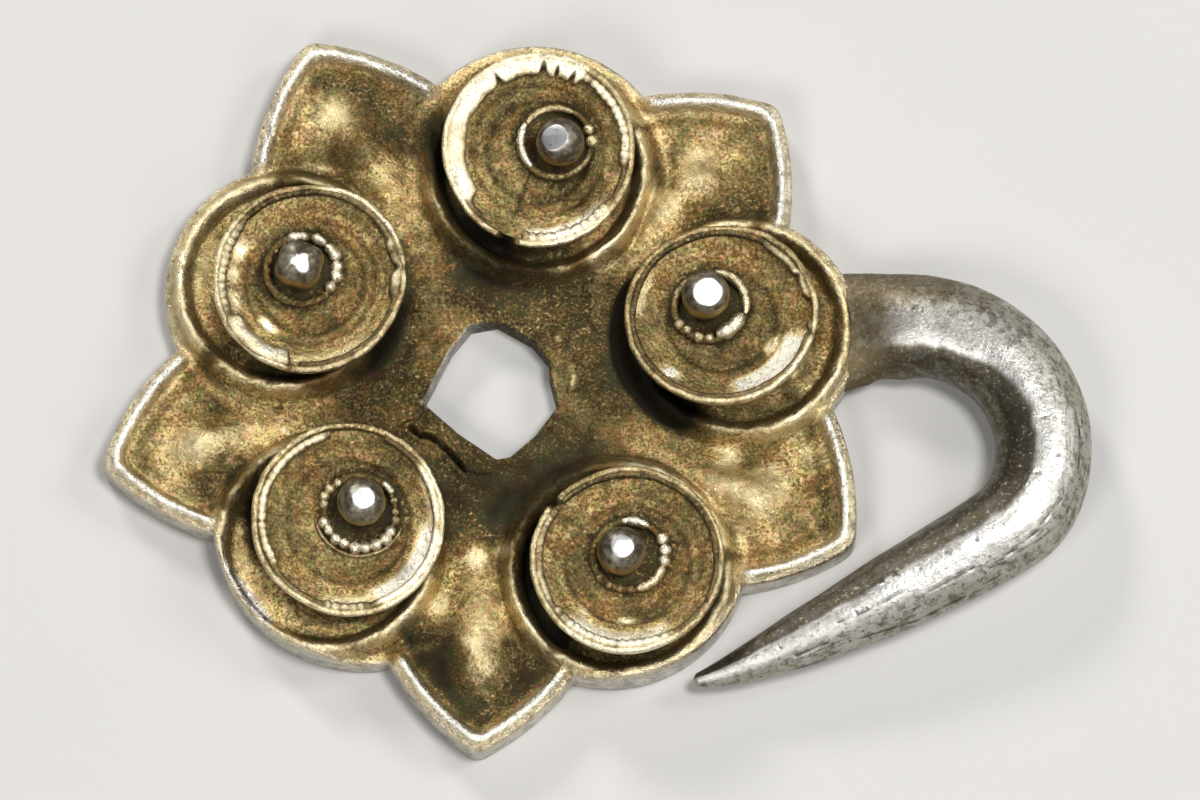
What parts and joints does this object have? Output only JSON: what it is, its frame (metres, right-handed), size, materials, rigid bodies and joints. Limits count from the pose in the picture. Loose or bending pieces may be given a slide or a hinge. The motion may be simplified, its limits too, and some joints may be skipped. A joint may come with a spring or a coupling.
{
  "type": "dress hook",
  "caption": "Cast silver-gilt dress fastener: a flower-shaped plate with applied cups and a pierced centre, and a stout round hook soldered to its edge.",
  "frame": {"origin": "centre of the bounding box, on the plane of the plate's flat back", "axes": "+Z out of the plate's face, away from its flat back; +X from the plate towards the hook; +Y up the picture"},
  "size_m": [0.0246, 0.0182, 0.0029],
  "materials": {
    "gilt": "worn fire gilding on silver, brown in the recesses",
    "silver": "bare silver, satin, scratched and tarnished"
  },
  "bodies": {
    "root": {"plate": "gilt", "hook": "silver", "top_dish": "gilt", "top_rim_wire": "gilt", "top_collar": "gilt", "top_pellet": "silver", "left_dish": "gilt", "left_rim_wire": "gilt", "left_collar": "gilt", "left_pellet": "silver", "lower_left_dish": "gilt", "lower_left_rim_wire": "gilt", "lower_left_collar": "gilt", "lower_left_pellet": "silver", "lower_right_dish": "gilt", "lower_right_rim_wire": "gilt", "lower_right_collar": "gilt", "lower_right_pellet": "silver", "right_dish": "gilt", "right_rim_wire": "gilt", "right_collar": "gilt", "right_pellet": "silver"}
  },
  "joints": []
}
